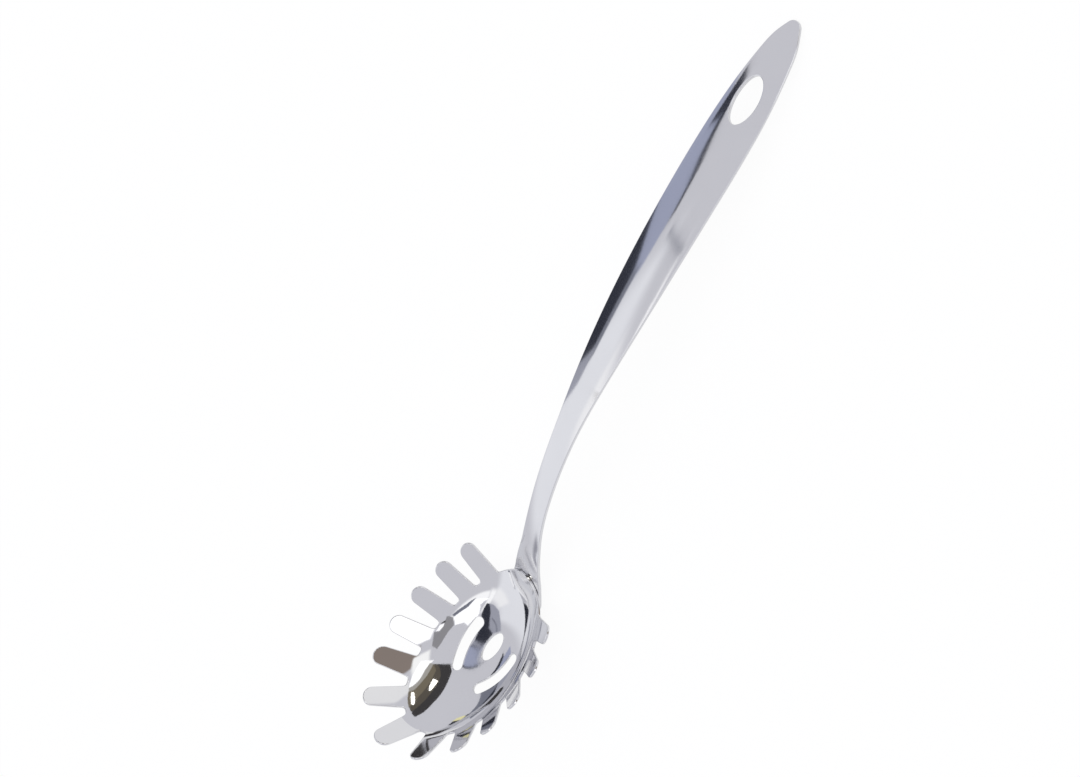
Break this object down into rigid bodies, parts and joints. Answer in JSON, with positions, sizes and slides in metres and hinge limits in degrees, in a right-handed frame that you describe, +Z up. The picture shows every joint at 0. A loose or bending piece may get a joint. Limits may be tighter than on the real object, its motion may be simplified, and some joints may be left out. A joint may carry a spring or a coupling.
{
  "type": "pasta server",
  "caption": "Stainless steel pasta server: a fingered, pierced bowl spot-welded to a long arched handle with a hanging hole.",
  "frame": {"origin": "middle of the bounding box on the table that the server lies on", "axes": "+X from the bowl to the handle's tip, +Y to the left of someone who looks from the bowl to the handle, +Z up; the server lies on its bowl and on the tip of its handle"},
  "size_m": [0.317, 0.0694, 0.0476],
  "materials": {
    "polished_steel": "mirror-polished stainless steel"
  },
  "bodies": {
    "root": {"bowl": "polished_steel", "handle": "polished_steel", "spot_welds": "polished_steel"}
  },
  "joints": []
}
